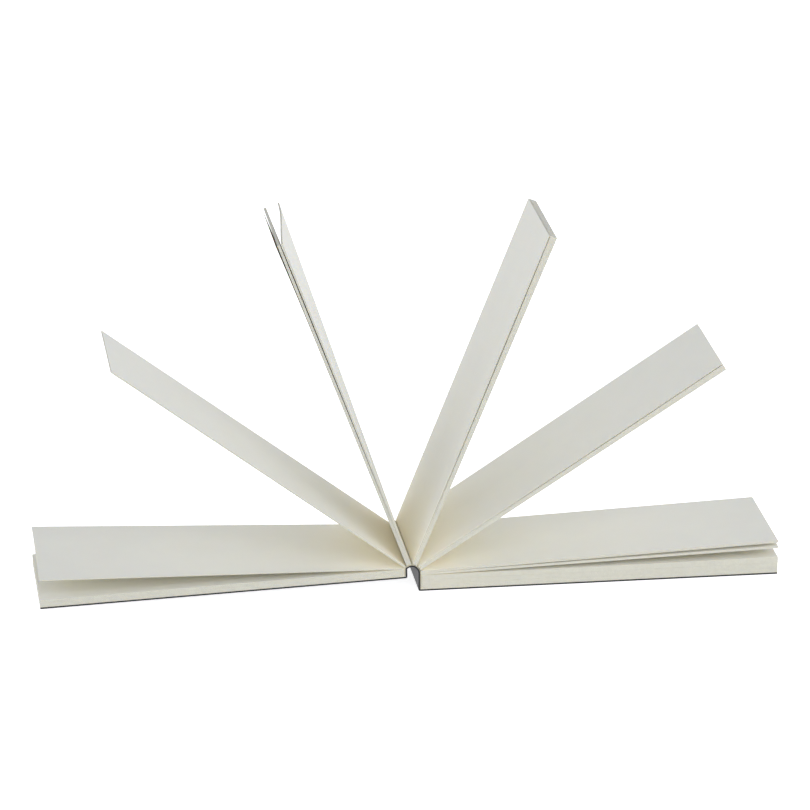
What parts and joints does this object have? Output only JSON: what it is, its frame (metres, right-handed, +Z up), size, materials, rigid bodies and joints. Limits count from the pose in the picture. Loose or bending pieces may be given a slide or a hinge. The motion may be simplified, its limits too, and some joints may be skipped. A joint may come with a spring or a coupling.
{
  "type": "sketchbook",
  "caption": "Long landscape sketchbook with ivory paper and a dark flexible cover, lying open with its sewn sections fanned upright over the spine.",
  "frame": {"origin": "under the middle of the book as it lies open, on the surface it lies on", "axes": "+X across the opening to the fore-edge of the back half, +Y along the spine from foot to head, +Z up"},
  "size_m": [0.429, 0.07, 0.2153],
  "materials": {
    "paper": "uncoated ivory drawing paper, matt, with a fine tooth",
    "endpaper": "uncoated ivory endpaper, matt",
    "cover": "flexible imitation leather, near-black cut edge and dark grey fine-grained face, satin",
    "spine_lining": "starched open cotton mull",
    "sewing_thread": "waxed linen thread"
  },
  "bodies": {
    "back_side": {"back_cover": "cover", "back_flyleaf": "endpaper", "back_pastedown": "endpaper", "section_1": "paper", "section_2": "paper", "section_3": "paper", "sewing_thread_1": "sewing_thread", "sewing_thread_2": "sewing_thread", "sewing_thread_3": "sewing_thread", "spine_cover_back": "cover", "spine_lining_back": "spine_lining"},
    "front_cover_swing": {"front_cover": "cover", "front_pastedown": "endpaper"},
    "leaf_1": {"turning_leaf_1": "paper"},
    "leaf_2": {"turning_leaf_2": "paper"},
    "leaf_3": {"turning_leaf_3": "paper"},
    "leaf_4": {"turning_leaf_4": "paper"},
    "leaf_5": {"turning_leaf_5": "paper"},
    "section_4": {"section_4_lower": "paper", "sewing_thread_4": "sewing_thread", "spine_cover_4": "cover", "spine_lining_4": "spine_lining"},
    "section_4_upper": {"section_4_upper": "paper"},
    "section_5": {"section_5_lower": "paper", "sewing_thread_5": "sewing_thread", "spine_cover_5": "cover", "spine_lining_5": "spine_lining"},
    "section_5_upper": {"section_5_upper": "paper"},
    "section_6": {"section_6_lower": "paper", "sewing_thread_6": "sewing_thread", "spine_cover_6": "cover", "spine_lining_6": "spine_lining"},
    "section_6_upper": {"section_6_upper": "paper"},
    "section_7": {"section_7_middle": "paper", "sewing_thread_7": "sewing_thread", "spine_cover_7": "cover", "spine_lining_7": "spine_lining"},
    "section_7_right": {"section_7_right": "paper"},
    "section_8": {"section_8_raised": "paper", "spine_cover_8": "cover", "spine_lining_8": "spine_lining"},
    "section_8_loose": {"section_8_loose": "paper"},
    "front_side": {"front_flyleaf": "endpaper", "section_8_laid": "paper", "section_9": "paper", "sewing_thread_8": "sewing_thread", "sewing_thread_9": "sewing_thread", "spine_cover_front": "cover", "spine_lining_front": "spine_lining"}
  },
  "joints": [
    {"name": "section_4_hinge", "type": "hinge", "parent": "back_side", "child": "section_4", "pos_m": [0.00444, 0, 0.00967], "axis": [0, -1, 0], "range_deg": [-1.75, 0]},
    {"name": "section_5_hinge", "type": "hinge", "parent": "section_4", "child": "section_5", "pos_m": [0.00435, 0, 0.01254], "axis": [0, -1, 0], "range_deg": [-31.45, 0]},
    {"name": "section_6_hinge", "type": "hinge", "parent": "section_5", "child": "section_6", "pos_m": [0.00249, 0, 0.01539], "axis": [0, -1, 0], "range_deg": [-35, 0]},
    {"name": "section_7_hinge", "type": "hinge", "parent": "section_6", "child": "section_7", "pos_m": [-0.00067, 0, 0.01665], "axis": [0, -1, 0], "range_deg": [-42.6, 0]},
    {"name": "section_8_hinge", "type": "hinge", "parent": "section_7", "child": "section_8", "pos_m": [-0.00384, 0, 0.01544], "axis": [0, -1, 0], "range_deg": [-32.1, 0]},
    {"name": "section_9_hinge", "type": "hinge", "parent": "section_8", "child": "front_side", "pos_m": [-0.00463, 0, 0.01441], "axis": [0, -1, 0], "range_deg": [-39.37, 0]},
    {"name": "section_4_upper_hinge", "type": "hinge", "parent": "section_4", "child": "section_4_upper", "pos_m": [0.0045, 0, 0.01109], "axis": [0, -1, 0], "range_deg": [-0.552, 0]},
    {"name": "section_5_upper_hinge", "type": "hinge", "parent": "section_5", "child": "section_5_upper", "pos_m": [0.00305, 0, 0.01471], "axis": [0, -1, 0], "range_deg": [-0.502, 0]},
    {"name": "section_6_upper_hinge", "type": "hinge", "parent": "section_6", "child": "section_6_upper", "pos_m": [0.00018, 0, 0.01642], "axis": [0, -1, 0], "range_deg": [-0.602, 0]},
    {"name": "section_7_right_hinge", "type": "hinge", "parent": "section_7", "child": "section_7_right", "pos_m": [-0.00195, 0, 0.01627], "axis": [0, -1, 0], "range_deg": [0, 1.9]},
    {"name": "section_8_loose_hinge", "type": "hinge", "parent": "front_side", "child": "section_8_loose", "pos_m": [-0.00471, 0, 0.01384], "axis": [0, -1, 0], "range_deg": [0, 4.6]},
    {"name": "leaf_hinge_1", "type": "hinge", "parent": "section_4_upper", "child": "leaf_1", "pos_m": [0.00495, 0, 0.01235], "axis": [0, -1, 0], "range_deg": [0, 30.6]},
    {"name": "leaf_hinge_2", "type": "hinge", "parent": "section_5_upper", "child": "leaf_2", "pos_m": [0.00325, 0, 0.01531], "axis": [0, -1, 0], "range_deg": [0, 34.2]},
    {"name": "leaf_hinge_3", "type": "hinge", "parent": "section_6_upper", "child": "leaf_3", "pos_m": [0, 0, 0.01703], "axis": [0, -1, 0], "range_deg": [0, 39.8]},
    {"name": "leaf_hinge_4", "type": "hinge", "parent": "section_7", "child": "leaf_4", "pos_m": [-0.0036, 0, 0.01618], "axis": [0, -1, 0], "range_deg": [0, 31.8]},
    {"name": "leaf_hinge_5", "type": "hinge", "parent": "section_8", "child": "leaf_5", "pos_m": [-0.00487, 0, 0.01508], "axis": [0, -1, 0], "range_deg": [0, 34.5]},
    {"name": "front_cover_hinge", "type": "hinge", "parent": "front_side", "child": "front_cover_swing", "pos_m": [-0.00322, 0, 0.00928], "axis": [0, 1, 0], "range_deg": [-110, 0]}
  ],
  "couplings": [
    {"joint": "section_4_hinge", "follows": "section_7_hinge", "ratio": 0.04108},
    {"joint": "section_5_hinge", "follows": "section_7_hinge", "ratio": 0.73826},
    {"joint": "section_6_hinge", "follows": "section_7_hinge", "ratio": 0.8216},
    {"joint": "section_8_hinge", "follows": "section_7_hinge", "ratio": 0.75352},
    {"joint": "section_9_hinge", "follows": "section_7_hinge", "ratio": 0.92408},
    {"joint": "section_4_upper_hinge", "follows": "section_7_hinge", "ratio": 0.012911},
    {"joint": "section_5_upper_hinge", "follows": "section_7_hinge", "ratio": 0.011737},
    {"joint": "section_6_upper_hinge", "follows": "section_7_hinge", "ratio": 0.014085},
    {"joint": "section_7_right_hinge", "follows": "section_7_hinge", "ratio": -0.044601},
    {"joint": "section_8_loose_hinge", "follows": "section_7_hinge", "ratio": -0.10798}
  ]
}
